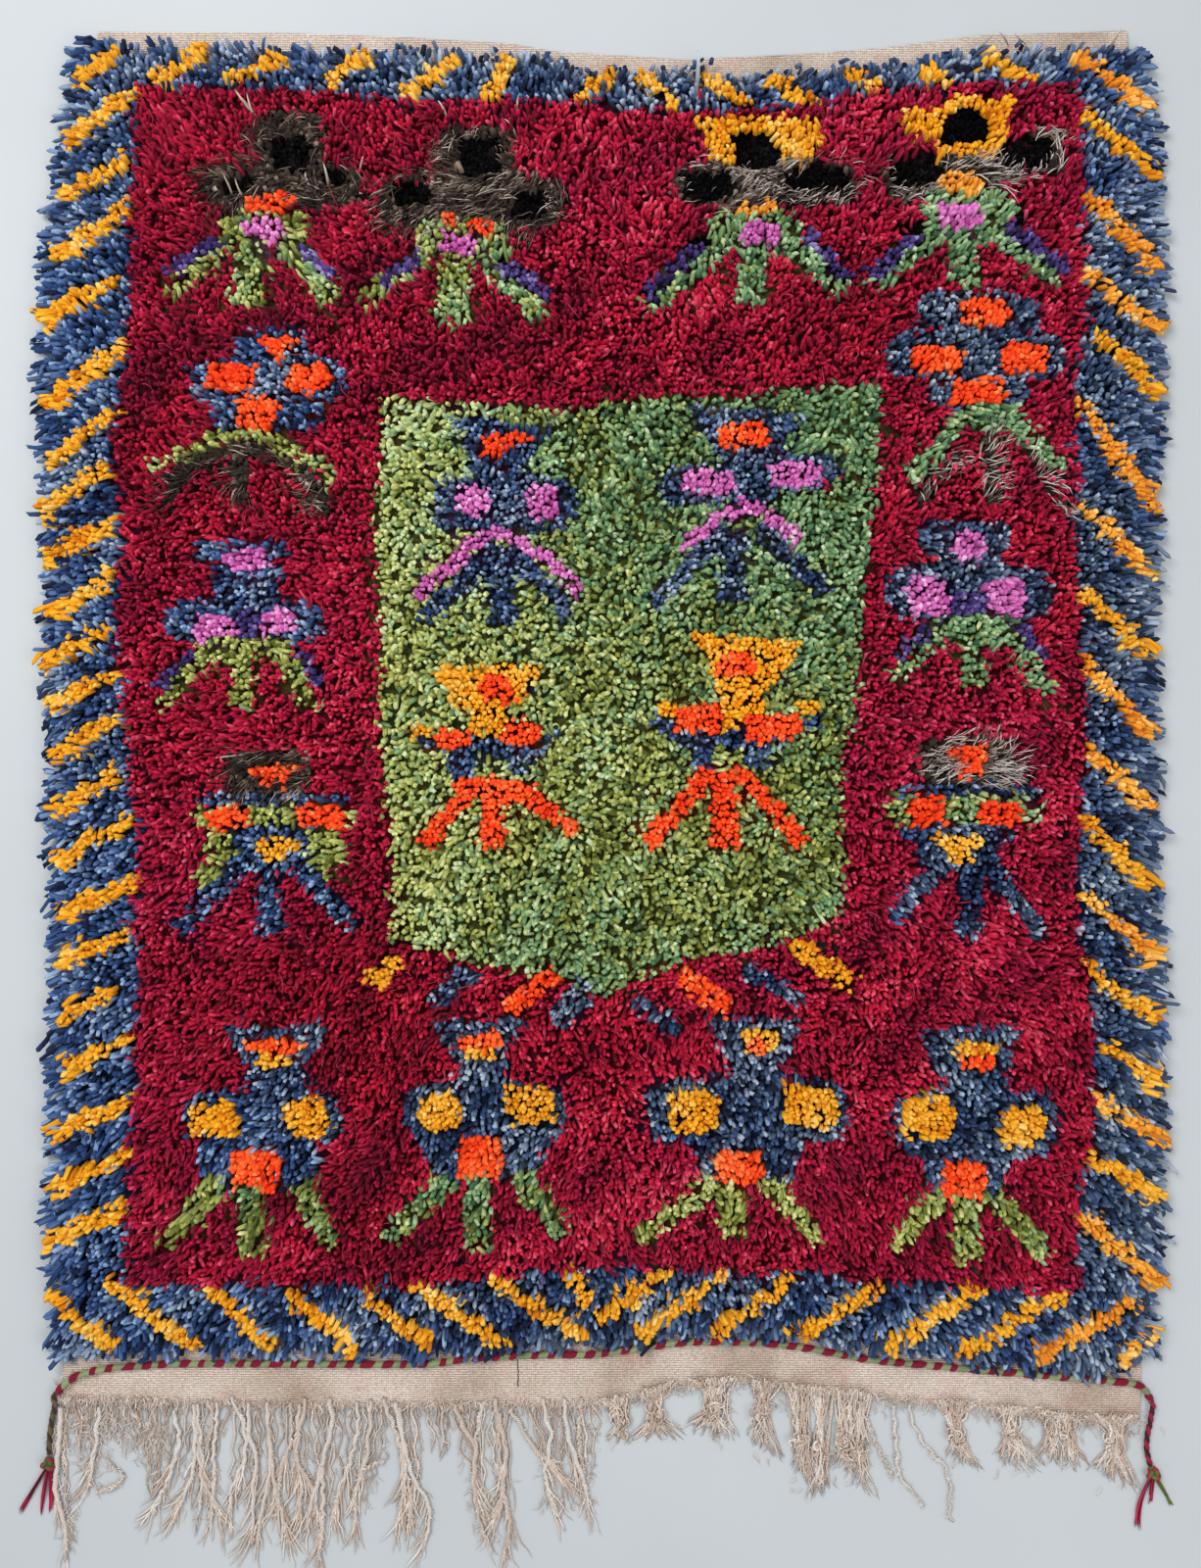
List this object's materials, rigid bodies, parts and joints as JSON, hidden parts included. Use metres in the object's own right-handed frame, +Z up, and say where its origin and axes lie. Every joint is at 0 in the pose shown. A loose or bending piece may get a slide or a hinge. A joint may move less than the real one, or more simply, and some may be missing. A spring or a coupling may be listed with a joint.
{
  "type": "tulu rug",
  "caption": "Shaggy wool rug lying flat: long knotted pile on a flat woven ground, with a bare woven skirt, a raised twined line with knotted tails, and a loose fringe.",
  "frame": {"origin": "middle of the ground weave's flat underside, on the floor", "axes": "+X to the rug's right seen from above with the long skirt and fringe nearest, +Y along its length away from that fringe, +Z up out of the floor"},
  "size_m": [1.1948, 1.5888, 0.0303],
  "materials": {
    "undyed_warp": "flat weave of undyed beige wool, matte, with fine ribs",
    "pile_wool": "long soft wool pile, crimson ground with blue, green, gold, pink, purple, black and brown knots",
    "twined_wool": "two-ply twined line of red and green wool beads",
    "fringe_yarn": "loose twisted beige warp yarns",
    "tail_wool": "dark red and dark green twisted wool cord",
    "knot_wool": "knotted red wool with loose ends"
  },
  "bodies": {
    "root": {"ground_weave": "undyed_warp", "pile": "pile_wool", "twined_cord": "twined_wool", "fringe": "fringe_yarn", "tail_left": "tail_wool", "tail_right": "tail_wool", "tail_left_knot": "knot_wool", "tail_right_knot": "knot_wool"}
  },
  "joints": []
}
